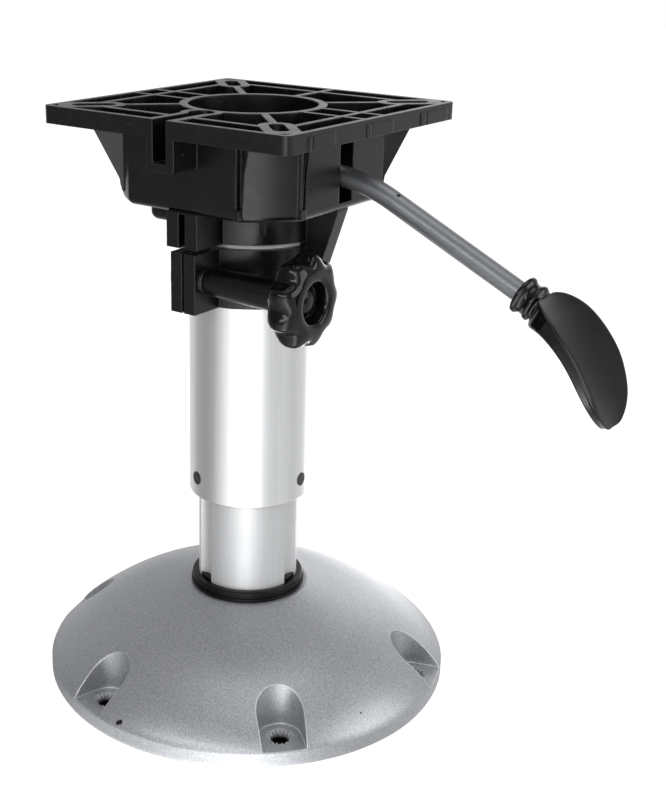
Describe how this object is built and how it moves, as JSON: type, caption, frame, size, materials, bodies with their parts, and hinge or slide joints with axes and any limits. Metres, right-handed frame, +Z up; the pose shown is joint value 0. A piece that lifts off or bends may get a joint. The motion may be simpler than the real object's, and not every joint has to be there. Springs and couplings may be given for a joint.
{
  "type": "boat seat pedestal",
  "caption": "Height-adjustable boat seat pedestal: cast round base, telescopic tube with a gas spring, swivelling ribbed seat mount, release lever and star clamp knob.",
  "frame": {"origin": "centre of the round base, on the floor, on the axis of the tubes", "axes": "+Z up along the tubes, +X to the side of the lever and the clamp knob, -Y to the side of the clamp ears and the open channel of the seat plate"},
  "size_m": [0.4334, 0.305, 0.433],
  "materials": {
    "cast_base": "satin",
    "tube_metal": "satin",
    "lever_metal": "satin",
    "black_nylon": "fine grain",
    "gloss_black": "gloss",
    "white_nylon": "satin",
    "zinc_steel": "zinc plated",
    "spring_steel": "polished",
    "painted_cylinder": "satin"
  },
  "bodies": {
    "base": {"base_flange": "cast_base", "collar_ring": "black_nylon", "lower_tube": "tube_metal", "tube_set_screws": "zinc_steel", "rod_anchor_plate": "zinc_steel", "rod_foot_washer": "zinc_steel", "rod_foot_nut": "zinc_steel", "gas_rod": "spring_steel", "gas_piston": "white_nylon", "upper_guide_bush": "black_nylon", "bush_screws": "zinc_steel"},
    "column": {"upper_tube": "tube_metal", "lower_guide_bush": "black_nylon", "gas_cylinder": "painted_cylinder", "gland_bush": "white_nylon", "top_plug": "tube_metal", "plug_screws": "zinc_steel", "neck_nut": "zinc_steel", "thrust_washer": "white_nylon", "swivel_sleeve": "white_nylon"},
    "valve": {"valve_button": "zinc_steel"},
    "seat": {"seat_mount": "black_nylon", "lever_pin": "zinc_steel", "pin_clips": "zinc_steel", "clamp_nut": "zinc_steel"},
    "lever": {"lever_rod": "lever_metal", "actuator_arm": "zinc_steel", "arm_rivets": "zinc_steel", "press_screw": "zinc_steel", "press_nut": "zinc_steel", "lever_handle": "gloss_black"},
    "knob": {"star_knob": "gloss_black", "knob_spacer": "black_nylon", "clamp_bolt": "zinc_steel", "clamp_washer": "zinc_steel"}
  },
  "joints": [
    {"name": "column_lift", "type": "slide", "parent": "base", "child": "column", "axis": [0, 0, 1], "range_m": [-0.065, 0.05]},
    {"name": "valve_press", "type": "slide", "parent": "column", "child": "valve", "axis": [0, 0, -1], "range_m": [0, 0.0055], "stiffness_N_per_m": 600},
    {"name": "seat_swivel", "type": "hinge", "parent": "column", "child": "seat", "pos_m": [0, 0, 0.33], "axis": [0, 0, 1], "continuous": true},
    {"name": "lever_lift", "type": "hinge", "parent": "seat", "child": "lever", "pos_m": [0.062, 0, 0.3926], "axis": [0, -1, 0], "range_deg": [0, 5]},
    {"name": "knob_turn", "type": "hinge", "parent": "seat", "child": "knob", "pos_m": [0, -0.063, 0.3215], "axis": [1, 0, 0], "range_deg": [-30, 330]}
  ],
  "couplings": [
    {"joint": "valve_press", "follows": "lever_lift", "m_per_rad": 0.062}
  ]
}
